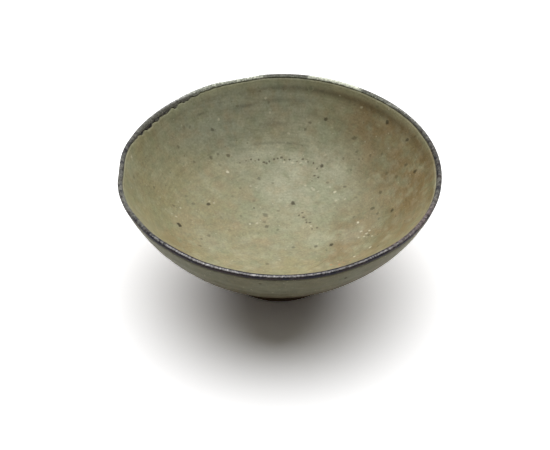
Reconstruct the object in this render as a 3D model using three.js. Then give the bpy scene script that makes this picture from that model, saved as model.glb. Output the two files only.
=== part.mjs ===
import * as THREE from 'three';

// A wide, shallow tea bowl: a thrown stoneware body on a turned foot ring, a coat of
// glaze inside and outside, and a thin metal edging bedded in lacquer over the bare lip.
// Millimetres, +Z up. The table is at Z = 0 and the bowl's axis is the Z axis.

// Overall sizes
const rimDiameter = 140; // over the metal edging
const bowlHeight = 55; // table to the top of the edging

// Foot ring
const footDiameter = 53.5; // at the table
const footHeight = 12;
const footFlare = 0.9; // added to the radius where the foot meets the body
const footWall = 5.5; // width of the ring on the table
const footInsideFlare = 0.5; // taken off the inner radius towards the body
const footChamfer = 0.6; // broken edges at the table

// Clay body
const footShelf = 0.7; // from the top of the foot ring out to where the wall springs
const floorThickness = 6.6; // clay over the foot ring's recess
const lipThickness = 1;
const springAngle = 12; // outer wall above the foot, from level
const springReach = 14.6; // how far the wall keeps near that angle
const outerLipFlare = 15; // outer wall at the lip, from upright
const outerLipReach = 17.8;
const innerLipFlare = 24; // inner wall at the lip, from upright
const innerLipReach = 11;

// The well, a shallow dish that the inner wall runs into
const wellRadius = 46;
const wellDepth = 9.2; // from the well's edge down to the middle of the floor
const wellEdgeAngle = 31; // slope at the well's edge, from level
const wellEdgeReach = 5; // a short reach makes a tight bend there
const floorReach = 28; // how far the floor keeps nearly level

// Coats and edging, measured square to the clay
const layerClearance = 0.1; // between the clay and each coat laid over it
const glazeThickness = 0.4;
const bareClay = 1.6; // height of unglazed wall above the foot ring
const lacquerThickness = 0.15;
const edgingThickness = 0.2;
const outerSkirt = 0.8; // height of the edging down the outside, from the lip's centre
const innerSkirt = 0.1; // height of the edging down the inside
const glazeGap = 0.25; // height between the glaze and the edging's skirt

// Fineness of the turned surfaces
const facetsAround = 60;
const wallSteps = 7;
const wellSteps = 6;
const lipSteps = 4;

const coatsOverLip = 2 * layerClearance + lacquerThickness + edgingThickness;
const lipRadius = lipThickness / 2;
const lipCentre = new THREE.Vector2(
  rimDiameter / 2 - coatsOverLip - lipRadius,
  bowlHeight - coatsOverLip - lipRadius
);
const footTopRadius = footDiameter / 2 + footFlare;
const wallFootRadius = footTopRadius + footShelf;
const floorTop = footHeight + floorThickness;
const floorMiddle = new THREE.Vector2(0, floorTop);
const wellEdge = new THREE.Vector2(wellRadius, floorTop + wellDepth);

// A point at a distance from another, along an angle from the level outward direction
function stepFrom(point, distance, degrees) {
  const angle = THREE.MathUtils.degToRad(degrees);
  return new THREE.Vector2(
    point.x + distance * Math.cos(angle),
    point.y + distance * Math.sin(angle)
  );
}

function lipPoint(degrees) {
  return stepFrom(lipCentre, lipRadius, degrees);
}

// The outer wall, from the top of the foot ring up to the lip
function outerWallCurve() {
  const start = new THREE.Vector2(wallFootRadius, footHeight);
  const end = lipPoint(-outerLipFlare);
  const springHandle = stepFrom(start, springReach, springAngle);
  const lipHandle = stepFrom(end, outerLipReach, -90 - outerLipFlare);
  return new THREE.CubicBezierCurve(start, springHandle, lipHandle, end);
}

// The inner wall, from the lip down to the well's edge
function innerWallCurve() {
  const start = lipPoint(180 - innerLipFlare);
  const lipHandle = stepFrom(start, innerLipReach, -90 - innerLipFlare);
  const wellHandle = stepFrom(wellEdge, wellEdgeReach, wellEdgeAngle);
  return new THREE.CubicBezierCurve(start, lipHandle, wellHandle, wellEdge);
}

// The well, from its edge in to the axis
function wellCurve() {
  const edgeHandle = stepFrom(wellEdge, wellEdgeReach, 180 + wellEdgeAngle);
  const floorHandle = new THREE.Vector2(floorReach, floorTop);
  return new THREE.CubicBezierCurve(wellEdge, edgeHandle, floorHandle, floorMiddle);
}

// Where a curve that rises or falls all the way passes a height, as a share from 0 to 1
function shareAtHeight(curve, height) {
  let low = 0;
  let high = 1;
  const rising = curve.getPoint(1).y > curve.getPoint(0).y;
  for (let halving = 0; halving < 40; halving += 1) {
    const middle = (low + high) / 2;
    const below = curve.getPoint(middle).y < height;
    if (below === rising) low = middle;
    else high = middle;
  }
  return (low + high) / 2;
}

// Points along a curve between two shares, with both ends
function stations(curve, from, to, steps) {
  const points = [];
  for (let step = 0; step <= steps; step += 1) {
    points.push(curve.getPoint(from + ((to - from) * step) / steps));
  }
  return points;
}

// The clay's whole surface as one path: up the outer wall, over the lip, down to the axis.
// Each coat is laid over a stretch of this path, so it follows the clay everywhere.
function claySurface() {
  const outer = outerWallCurve();
  const inner = innerWallCurve();
  const outerSkirtEdge = lipCentre.y - outerSkirt;
  const innerSkirtEdge = lipCentre.y - innerSkirt;
  const glazeStart = shareAtHeight(outer, footHeight + bareClay);
  const glazeEnd = shareAtHeight(outer, outerSkirtEdge - glazeGap);
  const outerCover = shareAtHeight(outer, outerSkirtEdge);
  const innerCover = shareAtHeight(inner, innerSkirtEdge);
  const innerGlaze = shareAtHeight(inner, innerSkirtEdge - glazeGap);

  const stretches = {
    bareWall: [outer.getPoint(0)],
    outerGlaze: stations(outer, glazeStart, glazeEnd, wallSteps),
    lip: [outer.getPoint(outerCover)],
    innerGlaze: stations(inner, innerGlaze, 1, wallSteps),
  };
  stretches.innerGlaze.push(...stations(wellCurve(), 0, 1, wellSteps).slice(1));
  const sweep = 180 - innerLipFlare + outerLipFlare;
  for (let step = 0; step <= lipSteps; step += 1) {
    stretches.lip.push(lipPoint(-outerLipFlare + (sweep * step) / lipSteps));
  }
  stretches.lip.push(inner.getPoint(innerCover));

  const path = [];
  const ranges = {};
  for (const [name, points] of Object.entries(stretches)) {
    ranges[name] = [path.length, path.length + points.length - 1];
    path.push(...points);
  }
  path[path.length - 1].x = 0;
  return { path, ranges };
}

// A point of a path moved square to the path's two neighbouring runs, away from the clay,
// so that the moved runs stay parallel to the old ones
function movedOut(path, index, distance) {
  const here = path[index];
  const before = path[Math.max(index - 1, 0)];
  const after = path[Math.min(index + 1, path.length - 1)];
  const incoming = here.clone().sub(before).normalize();
  const outgoing = after.clone().sub(here).normalize();
  if (index === 0) incoming.copy(outgoing);
  if (here.x === 0) outgoing.set(incoming.x, -incoming.y);
  const along = incoming.clone().add(outgoing).normalize();
  const stretch = distance / along.dot(incoming);
  return new THREE.Vector2(here.x + along.y * stretch, here.y - along.x * stretch);
}

// A solid turned about the axis from an outline of radius and height
function turned(outline) {
  const points = THREE.ShapeUtils.isClockWise(outline) ? outline.slice().reverse() : outline;
  const onAxis = points[0].x === 0 && points[points.length - 1].x === 0;
  const closed = onAxis ? points : [...points, points[0].clone()];
  return new THREE.LatheGeometry(closed, facetsAround);
}

// A coat over a stretch of the clay's surface
function coat(surface, name, clearance, thickness) {
  const [first, last] = surface.ranges[name];
  const near = [];
  const far = [];
  for (let index = first; index <= last; index += 1) {
    near.push(movedOut(surface.path, index, clearance));
    far.unshift(movedOut(surface.path, index, clearance + thickness));
  }
  const outline = [...near, ...far];
  if (near[near.length - 1].x === 0) return turned([...far, ...near]);
  return turned(outline);
}

function clayBody(surface) {
  return turned([new THREE.Vector2(0, footHeight), ...surface.path]);
}

function footRing() {
  const outside = footDiameter / 2;
  const inside = outside - footWall;
  return turned([
    new THREE.Vector2(inside + footChamfer, 0),
    new THREE.Vector2(outside - footChamfer, 0),
    new THREE.Vector2(outside, footChamfer),
    new THREE.Vector2(footTopRadius, footHeight),
    new THREE.Vector2(inside - footInsideFlare, footHeight),
    new THREE.Vector2(inside, footChamfer),
  ]);
}

function piece(name, geometry, color, roughness, metalness) {
  const material = new THREE.MeshStandardMaterial({ color, roughness, metalness });
  const mesh = new THREE.Mesh(geometry, material);
  mesh.name = name;
  return mesh;
}

const surface = claySurface();
const edgingClearance = 2 * layerClearance + lacquerThickness;

const bowl = new THREE.Group();
bowl.name = 'tea_bowl';
bowl.rotation.x = Math.PI / 2; // turned shapes rise along Y, and the bowl rises along Z
bowl.add(
  piece('clay_body', clayBody(surface), 0x9a8a72, 0.85, 0),
  piece('foot_ring', footRing(), 0x94836b, 0.88, 0),
  piece('inner_glaze', coat(surface, 'innerGlaze', layerClearance, glazeThickness), 0xa09d80, 0.3, 0),
  piece('outer_glaze', coat(surface, 'outerGlaze', layerClearance, glazeThickness), 0x8d8c75, 0.35, 0),
  piece('rim_lacquer', coat(surface, 'lip', layerClearance, lacquerThickness), 0x1c1613, 0.4, 0),
  piece('rim_band', coat(surface, 'lip', edgingClearance, edgingThickness), 0x45423f, 0.4, 1)
);

export default bowl;
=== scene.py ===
import math

import bpy
import numpy as np
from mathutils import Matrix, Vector
from mathutils.bvhtree import BVHTree


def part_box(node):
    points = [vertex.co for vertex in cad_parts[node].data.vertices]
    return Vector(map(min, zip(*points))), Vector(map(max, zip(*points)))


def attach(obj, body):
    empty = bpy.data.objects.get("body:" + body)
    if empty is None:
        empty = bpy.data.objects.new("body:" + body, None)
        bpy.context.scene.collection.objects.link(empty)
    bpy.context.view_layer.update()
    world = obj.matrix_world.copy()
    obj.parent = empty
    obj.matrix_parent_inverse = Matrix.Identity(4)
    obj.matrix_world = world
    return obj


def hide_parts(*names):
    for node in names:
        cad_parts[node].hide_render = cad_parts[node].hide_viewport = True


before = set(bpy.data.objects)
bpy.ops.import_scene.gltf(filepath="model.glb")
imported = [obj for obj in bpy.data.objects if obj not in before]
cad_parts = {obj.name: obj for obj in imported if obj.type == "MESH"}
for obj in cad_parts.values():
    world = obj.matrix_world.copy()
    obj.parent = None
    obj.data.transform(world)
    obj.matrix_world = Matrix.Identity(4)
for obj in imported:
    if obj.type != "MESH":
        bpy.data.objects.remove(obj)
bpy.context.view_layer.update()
mm = 0.001
print("frame loaded:", ", ".join(sorted(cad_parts)))


# The clay's surface in section, as one path from the foot over the lip to the middle of the floor

section = {
    "lipThickness": 1.0 * mm,
    "springAngle": 12,        # outer wall above the foot, from level
    "springReach": 14.6 * mm,
    "outerLipFlare": 15,      # from upright
    "outerLipReach": 17.8 * mm,
    "innerLipFlare": 24,
    "innerLipReach": 11 * mm,
    "wellRadius": 46 * mm,
    "wellDepth": 9.2 * mm,
    "wellEdgeAngle": 31,      # slope at the well's edge, from level
    "wellEdgeReach": 5 * mm,
    "floorReach": 28 * mm,
    "footShelf": 0.7 * mm,
    "floorThickness": 6.6 * mm,
    "layerClearance": 0.1 * mm,
    "glaze": 0.4 * mm,
    "lacquer": 0.15 * mm,
    "edging": 0.2 * mm,
    "bareClay": 1.6 * mm,
    "outerSkirt": 0.8 * mm,
    "innerSkirt": 0.1 * mm,
    "glazeGap": 0.25 * mm,
    "curvePoints": 900,
    "lipPoints": 60,
}
bandLow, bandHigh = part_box("rim_band")
rimRadius = (bandHigh.x - bandLow.x) / 2
bowlHeight = bandHigh.z
footLow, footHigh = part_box("foot_ring")
footHeight = footHigh.z
footTopRadius = (footHigh.x - footLow.x) / 2
coatsOverLip = 2 * section["layerClearance"] + section["lacquer"] + section["edging"]
lipRadius = section["lipThickness"] / 2
lipCentre = (rimRadius - coatsOverLip - lipRadius, bowlHeight - coatsOverLip - lipRadius)


def bezier(points, count):
    a, b, c, d = (np.array(p, float)[None, :] for p in points)
    t = np.linspace(0, 1, count)[:, None]
    return (1 - t) ** 3 * a + 3 * (1 - t) ** 2 * t * b + 3 * (1 - t) * t ** 2 * c + t ** 3 * d


def stepFrom(point, distance, degrees):
    angle = math.radians(degrees)
    return (point[0] + distance * math.cos(angle), point[1] + distance * math.sin(angle))


def makeClayPath():
    s = section
    floorTop = footHeight + s["floorThickness"]
    outerStart = (footTopRadius + s["footShelf"], footHeight)
    outerEnd = stepFrom(lipCentre, lipRadius, -s["outerLipFlare"])
    outer = bezier([outerStart, stepFrom(outerStart, s["springReach"], s["springAngle"]),
                    stepFrom(outerEnd, s["outerLipReach"], -90 - s["outerLipFlare"]), outerEnd],
                   s["curvePoints"])
    sweep = np.radians(np.linspace(-s["outerLipFlare"], 180 - s["innerLipFlare"], s["lipPoints"]))
    lip = np.stack([lipCentre[0] + lipRadius * np.cos(sweep), lipCentre[1] + lipRadius * np.sin(sweep)], 1)
    innerStart = stepFrom(lipCentre, lipRadius, 180 - s["innerLipFlare"])
    wellEdge = (s["wellRadius"], floorTop + s["wellDepth"])
    inner = bezier([innerStart, stepFrom(innerStart, s["innerLipReach"], -90 - s["innerLipFlare"]),
                    stepFrom(wellEdge, s["wellEdgeReach"], s["wellEdgeAngle"]), wellEdge], s["curvePoints"])
    well = bezier([wellEdge, stepFrom(wellEdge, s["wellEdgeReach"], 180 + s["wellEdgeAngle"]),
                   (s["floorReach"], floorTop), (0, floorTop)], s["curvePoints"])
    points = np.concatenate([outer[:-1], lip, inner[1:], well[1:]])
    run = np.concatenate([[0], np.cumsum(np.hypot(*np.diff(points, axis=0).T))])
    along = np.gradient(points, run, axis=0)
    along /= np.hypot(along[:, 0], along[:, 1])[:, None]
    along[-1] = (-1, 0)
    normals = np.stack([along[:, 1], -along[:, 0]], 1)
    lipStart = len(outer) - 1
    edgeIndex = lipStart + len(lip) - 1 + len(inner) - 1
    return {"points": points, "run": run, "normals": normals, "wellEdge": float(run[edgeIndex]),
            "lipTop": float(run[lipStart + int(normals[lipStart:lipStart + len(lip), 1].argmax())])}


clay = makeClayPath()


def runAtHeight(height, inside):
    # distance along the path where the wall passes a height, outside or inside
    chosen = clay["run"] > clay["lipTop"] if inside else clay["run"] < clay["lipTop"]
    heights, runs = clay["points"][chosen, 1], clay["run"][chosen]
    order = np.argsort(heights)
    return float(np.interp(height, heights[order], runs[order]))


def onClay(run, offset):
    # radius and height at a distance along the path, moved out square to the clay
    columns = np.concatenate([clay["points"], clay["normals"]], 1).T
    r, z, outward, upward = (np.interp(run, clay["run"], column) for column in columns)
    length = np.hypot(outward, upward)
    return r + offset * outward / length, z + offset * upward / length


def facing(run):
    # which way the clay faces, in degrees: 0 is outward, 90 is up
    outward, upward = (np.interp(run, clay["run"], column) for column in clay["normals"].T)
    return np.degrees(np.arctan2(upward, outward))


glazeFoot = runAtHeight(footHeight + section["bareClay"], False)
skirtOutside = runAtHeight(lipCentre[1] - section["outerSkirt"], False)
skirtInside = runAtHeight(lipCentre[1] - section["innerSkirt"], True)
glazeTopOutside = runAtHeight(lipCentre[1] - section["outerSkirt"] - section["glazeGap"], False)
glazeTopInside = runAtHeight(lipCentre[1] - section["innerSkirt"] - section["glazeGap"], True)
floorMiddle = float(clay["run"][-1])
print("section drawn")


# Camera: one 550 x 450 picture, seen from in front and above

view = {
    "imageSize": (550, 450),
    "focalLength": 1600.0,   # in pixels of that picture
    "pitch": 40.83,          # degrees below level
    "rimAhead": 694.4 * mm,  # where the rim's centre lies, seen from the camera
    "rimRight": 2.0 * mm,
    "rimUp": 24.17 * mm,
    "filmWidth": 36.0,
}


def makeCamera():
    pitch = math.radians(view["pitch"])
    ahead = Vector((0, math.cos(pitch), -math.sin(pitch)))
    upward = Vector((0, math.sin(pitch), math.cos(pitch)))
    data = bpy.data.cameras.new("camera")
    data.sensor_width = view["filmWidth"]
    data.lens = view["focalLength"] / view["imageSize"][0] * view["filmWidth"]
    data.clip_start = 10 * mm
    made = bpy.data.objects.new("camera", data)
    made.location = (Vector((0, 0, lipCentre[1])) - ahead * view["rimAhead"] - upward * view["rimUp"]
                     - Vector((1, 0, 0)) * view["rimRight"])
    made.rotation_euler = (math.pi / 2 - pitch, 0, 0)
    bpy.context.scene.collection.objects.link(made)
    bpy.context.scene.camera = made
    return made


def sightLine(x, y):
    # start and direction of the sight line through one point of the picture
    pitch = math.radians(view["pitch"])
    width, height = view["imageSize"]
    right = (x - width / 2) / view["focalLength"]
    up = (height / 2 - y) / view["focalLength"]
    direction = Vector((right, math.cos(pitch) + up * math.sin(pitch),
                        up * math.cos(pitch) - math.sin(pitch)))
    return camera.location.copy(), direction.normalized()


camera = makeCamera()
print("camera placed")


# Unevenness of a bowl made by hand. Every layer follows it, so the layers stay together.

hand = {
    "wellShift": -1.8 * mm,                # the well sits a little to the left of the rim's middle
    # count round the rim, size, crest's angle
    "rimWaves": [(1, 0.33 * mm, -5), (2, 0.13 * mm, 41), (3, 0.21 * mm, 68), (4, 0.15 * mm, 0)],
    # angle, width, size
    "rimBumps": [
        (197, 13, 0.6 * mm), (181, 6, -0.3 * mm), (168, 7, 0.25 * mm), (137, 16, -0.25 * mm),
        (106, 9, -0.75 * mm), (82, 20, 0.45 * mm), (-20, 12, 0.15 * mm), (-60, 18, -0.5 * mm),
        (232, 12, -0.45 * mm), (210, 9, -0.1 * mm), (251, 10, -0.25 * mm), (290, 10, 0.15 * mm),
    ],
    "rimLift": 0.10 * mm,                  # up and down, twice round
    "ridgeHeight": 0.045 * mm,             # finger ridges on the inner wall
    "ridgeSpacing": 5.6 * mm,
    "ridgesInWell": 0.35,                  # share of that height left in the well
    "ridgeFade": 6 * mm,                   # distance past the well's edge over which they fade to it
    "ridgeSwell": 9 * mm,                  # spacing of the stretches where they are stronger
    "outerRidgeHeight": 0.05 * mm,
    "outerRidgeSpacing": 7.0 * mm,
    "wanderSpacing": 11 * mm,
    "wander": (1.3, 0.5),                  # of the ridges, in radians, up the wall and round it
    "dent": 0.07 * mm,
    "dentSpacing": 14 * mm,
    "dentTwist": 60 * mm,                  # height over which the dents turn by a radian
}


def fullTurn(columns):
    return np.arange(columns) * 2 * math.pi / columns


def smooth(share):
    # from 0 to 1, level at both ends
    return share * share * (3 - 2 * share)


def waves(x, seed, count, lowest):
    # a sum of sines with seeded sizes and phases, about -1 to 1
    random = np.random.default_rng(seed)
    total = np.zeros_like(x, dtype=float)
    for number in range(count):
        pace = lowest + number * random.uniform(0.7, 1.4)
        total += random.uniform(0.5, 1) / (number + 1) * np.sin(x * pace + random.uniform(0, 2 * math.pi))
    return total / 1.6


def ringWaves(angle, seed, counts):
    # the same round a full turn, with whole numbers of waves
    random = np.random.default_rng(seed)
    total = np.zeros_like(angle, dtype=float)
    for count in counts:
        size = random.uniform(0.4, 1) / count ** 0.5
        total += size * np.sin(count * angle + random.uniform(0, 2 * math.pi))
    return total


def angleMask(angle, centre, width):
    # 1 at an angle in degrees, falling softly to 0 a width away
    away = np.degrees(np.abs((angle - math.radians(centre) + math.pi) % (2 * math.pi) - math.pi))
    return smooth(np.clip(1.2 - away / width, 0, 1))


def handMade(r, z, run, angle):
    # a turned surface's points, with the bowl's unevenness
    share = np.clip(z / bowlHeight, 0, 1) ** 2
    sway = sum(size * np.cos(count * (angle - math.radians(crest)))
               for count, size, crest in hand["rimWaves"])
    sway = sway + sum(size * angleMask(angle, centre, width) for centre, width, size in hand["rimBumps"])
    inward = np.clip((run - clay["lipTop"]) / (clay["wellEdge"] - clay["lipTop"]), 0, 1)
    shift = hand["wellShift"] * smooth(inward)
    radius = r + share * sway
    return (radius * np.cos(angle) + shift, radius * np.sin(angle),
            z + share * hand["rimLift"] * np.cos(2 * angle + 1))


def ridges(run, angle, spacing, seed):
    # finger ridges climb the wall in a spiral, and wander
    turn = run / spacing * 2 * math.pi + angle
    up, around = hand["wander"]
    wander = up * waves(run / hand["wanderSpacing"], seed, 4, 1.0) + around * ringWaves(angle, 8, (1, 2, 3))
    return np.sin(turn + wander)


def dents(run, angle, seed):
    across = ringWaves(angle + run / hand["dentTwist"], seed, (2, 3, 5))
    return hand["dent"] * (across * waves(run / hand["dentSpacing"], seed + 1, 3, 1.1))


def innerMarks(run, angle):
    # the ridges are fainter in the well
    strength = 0.55 + 0.45 * waves(run / hand["ridgeSwell"], 9, 3, 0.8)
    inWell = np.clip((run - clay["wellEdge"]) / hand["ridgeFade"], 0, 1)
    height = hand["ridgeHeight"] * (1 - inWell * (1 - hand["ridgesInWell"]))
    return height * ridges(run, angle, hand["ridgeSpacing"], 5) * strength + dents(run, angle, 12)


def outerMarks(run, angle):
    return (hand["outerRidgeHeight"] * ridges(run, angle, hand["outerRidgeSpacing"], 6)
            + dents(run, angle, 14))


# Meshes turned from rows of points, with any of them varying round the turn

def linkedObject(name, data):
    made = bpy.data.objects.new(name, data)
    bpy.context.scene.collection.objects.link(made)
    return made


def signedVolume(mesh):
    mesh.calc_loop_triangles()
    corners = np.zeros(len(mesh.loop_triangles) * 3, np.int32)
    mesh.loop_triangles.foreach_get("vertices", corners)
    places = np.zeros(len(mesh.vertices) * 3, np.float64)
    mesh.vertices.foreach_get("co", places)
    a, b, c = places.reshape(-1, 3)[corners.reshape(-1, 3)].transpose(1, 0, 2)
    return float(np.einsum("ij,ij->i", a, np.cross(b, c)).sum() / 6)


def addMarks(mesh, marks):
    # values from 0 to 1 at the mesh's points, which a material reads by name
    for name, values in marks.items():
        layer = mesh.attributes.new(name, "FLOAT", "POINT")
        layer.data.foreach_set("value", np.asarray(values, np.float32).ravel())


def turnedMesh(name, points, firstApex=None, lastApex=None, marks=None):
    # points are rows x columns x 3; the rows close on themselves, or run from one apex to the other
    rows, columns = points.shape[:2]
    places = points.reshape(-1, 3).tolist()
    here = np.arange(columns)
    after = np.roll(here, -1)
    faces = []
    for row in range(rows if firstApex is None else rows - 1):
        below = row * columns
        above = ((row + 1) % rows) * columns
        faces.extend(np.stack([below + here, below + after, above + after, above + here], 1).tolist())
    if firstApex is not None:
        last = (rows - 1) * columns
        places.extend([firstApex, lastApex])
        faces.extend((rows * columns, b, a) for a, b in zip(here.tolist(), after.tolist()))
        faces.extend((rows * columns + 1, last + a, last + b) for a, b in zip(here.tolist(), after.tolist()))
    mesh = bpy.data.meshes.new(name)
    mesh.from_pydata(places, [], faces)
    if signedVolume(mesh) < 0:
        mesh.flip_normals()
    mesh.polygons.foreach_set("use_smooth", [True] * len(mesh.polygons))
    addMarks(mesh, {label: np.append(values, [0, 0]) if firstApex is not None else values
                    for label, values in (marks or {}).items()})
    mesh.update()
    return linkedObject(name, mesh)


edgeShare = 0.12   # of a coat's thickness, left at its very edge


def coatShell(name, columns, rows, start, end, offsets, relief, edge, marks=None):
    # a coat over the clay between two places on its path, which may vary round the turn;
    # rows and offsets are pairs, for the face on the clay and the face that shows
    angle = fullTurn(columns)[None, :]
    start = np.broadcast_to(np.asarray(start, float), (1, columns))
    end = np.broadcast_to(np.asarray(end, float), (1, columns))
    onAxis = bool(np.all(end >= floorMiddle - 0.001 * mm))
    run = start + (end - start) * np.linspace(0, 1, rows[1])[:, None]
    fromStart = np.clip((run - start) / edge, 0, 1)
    fromEnd = np.ones_like(run) if onAxis else np.clip((end - run) / edge, 0, 1)
    rounding = np.sqrt(1 - (1 - fromStart) ** 2) * np.sqrt(1 - (1 - fromEnd) ** 2)
    thickness = (offsets[1] - offsets[0] + relief(run, angle)) * (edgeShare + (1 - edgeShare) * rounding)
    r, z = onClay(run, offsets[0] + thickness)
    far = np.stack(handMade(r, z, run, angle), -1)
    backRun = start + (end - start) * np.linspace(1, 0, rows[0])[:, None]
    r, z = onClay(backRun, offsets[0])
    near = np.stack(handMade(r, z, backRun, angle), -1)
    shown = {label: np.broadcast_to(value(run, angle), run.shape) for label, value in (marks or {}).items()}
    hidden = np.zeros((rows[0], columns))
    if not onAxis:
        shown = {label: np.concatenate([values, hidden]) for label, values in shown.items()}
        return turnedMesh(name, np.concatenate([far, near]), marks=shown)
    shown = {label: np.concatenate([hidden[1:], values[:-1]]) for label, values in shown.items()}
    return turnedMesh(name, np.concatenate([near[1:], far[:-1]]), near[0].mean(0).tolist(),
                      far[-1].mean(0).tolist(), shown)


# Pieces

edging = {
    "columns": 720,
    "rows": (14, 44),
    "ripple": 0.04 * mm,       # waviness of the folded metal
    "edge": 0.1 * mm,
    "edgeWander": 0.12 * mm,   # unevenness of the skirts' lower edges
    "lapAngle": 122,           # where the strip's ends lap, in degrees from the right, seen from above
    "lapWidth": 9,
    "lapStep": 0.12 * mm,
    "tatters": 0.75 * mm,      # depth of the flakes along the ragged stretch of the inner edge
    "flakes": (67, 103, 149),  # how many of them there would be all round
    "flakeSharpness": 11,      # how abruptly they start and end
    "rippleSpacing": 0.9 * mm,
    # the lists hold pairs of an angle and a value, and the values change evenly between them:
    # millimetres that the inner skirt reaches further down, and the share of the tatters
    "deeperSkirt": [
        (0, 0.7), (15, 0.3), (30, 0), (112, 0), (122, 0.3), (131, 0.9), (143, 1.3), (151, 1.9), (158, 0.7),
        (166, -0.1), (180, 0.3), (205, 0.5), (220, 0.3), (300, 0.2), (318, 0.7), (330, 1.1), (345, 0.9),
    ],
    "ragged": [(110, 0), (122, 0.5), (128, 1), (157, 1), (163, 0)],
    # the crest, rubbed bright and lit up by a painted highlight, which at the back also lies as painted
    # light on the inner skirt that faces away from the lamp: which way it faces, from 0 outward over 90 up
    # to 180 inward, how far it reaches to both sides, and how bright it is
    "crestStrength": 0.6,
    "crestFacing": [
        (0, 80), (38, 90), (44, 180), (56, 195), (60, 100), (76, 95), (80, 200), (95, 200), (98, 105),
        (104, 115), (108, 130), (120, 120), (128, 85), (138, 75), (190, 70), (225, 60), (310, 58),
        (345, 70),
    ],
    "crestWidth": [
        (0, 22), (38, 60), (44, 100), (56, 105), (60, 150), (76, 150), (80, 105), (95, 105), (98, 150),
        (120, 150), (130, 105), (142, 50), (150, 30), (200, 30), (230, 40), (300, 42), (330, 40),
    ],
    "silverHighlight": [
        (0, 0.3), (30, 0.5), (38, 0.8), (45, 1.25), (56, 1.3), (60, 1.8), (76, 1.8), (80, 1.35), (94, 1.35),
        (98, 1.5), (104, 1.25), (120, 1.15), (128, 1.15), (134, 1.15), (142, 0.75), (152, 0.5), (165, 0.15),
        (200, 0.25), (215, 0.45), (232, 1.05), (245, 1.2), (268, 1.1), (290, 0.9), (310, 0.85), (325, 0.6),
        (340, 0.35),
    ],
    # bare, greyed metal: on the top and this far down the inside, and on the rest of the inner skirt
    "wornSkirt": 0.6 * mm,
    "wearFade": 0.4 * mm,
    "patinaBelow": 5,          # facing, in degrees up from outward, below which the patina stays
    "patinaFade": 30,
    "leastWear": 0.2,
    "wear": [
        (0, 0.36), (15, 0.42), (30, 0.6), (45, 0.9), (76, 0.9), (80, 0.85), (95, 0.85), (116, 0.9),
        (134, 1), (150, 0.85), (160, 0.55), (168, 0.4), (180, 0.5), (205, 0.55), (225, 0.3), (250, 0.1),
        (300, 0.15), (318, 0.5), (335, 0.62), (350, 0.4),
    ],
    "skirtWear": [
        (0, 1), (40, 1), (55, 1.1), (112, 1.1), (122, 0.95), (130, 0.7), (145, 0.45), (155, 0.38),
        (163, 0.5), (175, 0.6), (200, 0.55), (220, 0.2), (300, 0.2), (325, 0.15), (340, 0.3), (350, 0.8),
    ],
}


def roundTheRim(angle, stations):
    # a value that changes round the rim, from pairs of an angle in degrees and the value there
    at, values = zip(*stations)
    return np.interp(np.degrees(angle), at, values, period=360)


def innerSkirtEdge(angle):
    e = edging
    wander = e["edgeWander"] * ringWaves(angle, 33, (4, 9, 15, 27))
    flakes = np.tanh(e["flakeSharpness"] * ringWaves(angle, 31, e["flakes"]))
    flakes = flakes * (0.7 + 0.6 * ringWaves(angle, 36, (13, 29)))
    return (skirtInside + roundTheRim(angle, e["deeperSkirt"]) * mm + wander
            + e["tatters"] * roundTheRim(angle, e["ragged"]) * flakes)


def makeEdging():
    e = edging
    start = 2 * section["layerClearance"] + section["lacquer"]
    angle = fullTurn(e["columns"])
    outerEdge = skirtOutside + e["edgeWander"] * ringWaves(angle, 32, (3, 7, 11, 19))

    def relief(run, around):
        lap = np.clip(8 * angleMask(around, e["lapAngle"], e["lapWidth"]), 0, 1)
        ripple = np.sin(run / e["rippleSpacing"] + ringWaves(around, 35, (2, 6)))
        ripple = ringWaves(around, 34, (5, 13, 29, 43)) * ripple
        return -e["ripple"] * (0.6 + 0.4 * ripple) - e["lapStep"] * (1 - lap)

    def crest(run, around):
        away = np.abs(facing(run) - roundTheRim(around, e["crestFacing"]))
        near = np.clip(1.3 - 1.3 * (away / roundTheRim(around, e["crestWidth"])), 0, 1)
        return e["crestStrength"] * near * roundTheRim(around, e["silverHighlight"])

    def wear(run, around):
        # the outer skirt keeps its patina
        top = np.clip((skirtInside + e["wornSkirt"] - run) / e["wearFade"], 0, 1)
        bare = roundTheRim(around, e["wear"]) * top + roundTheRim(around, e["skirtWear"]) * (1 - top)
        return bare * np.clip((facing(run) - e["patinaBelow"]) / e["patinaFade"], e["leastWear"], 1)

    return coatShell("rimBandSkin", e["columns"], e["rows"], outerEdge, innerSkirtEdge(angle),
                     (start, start + section["edging"] + e["lapStep"]), relief, e["edge"],
                     {"crest": crest, "wear": wear})


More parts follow.
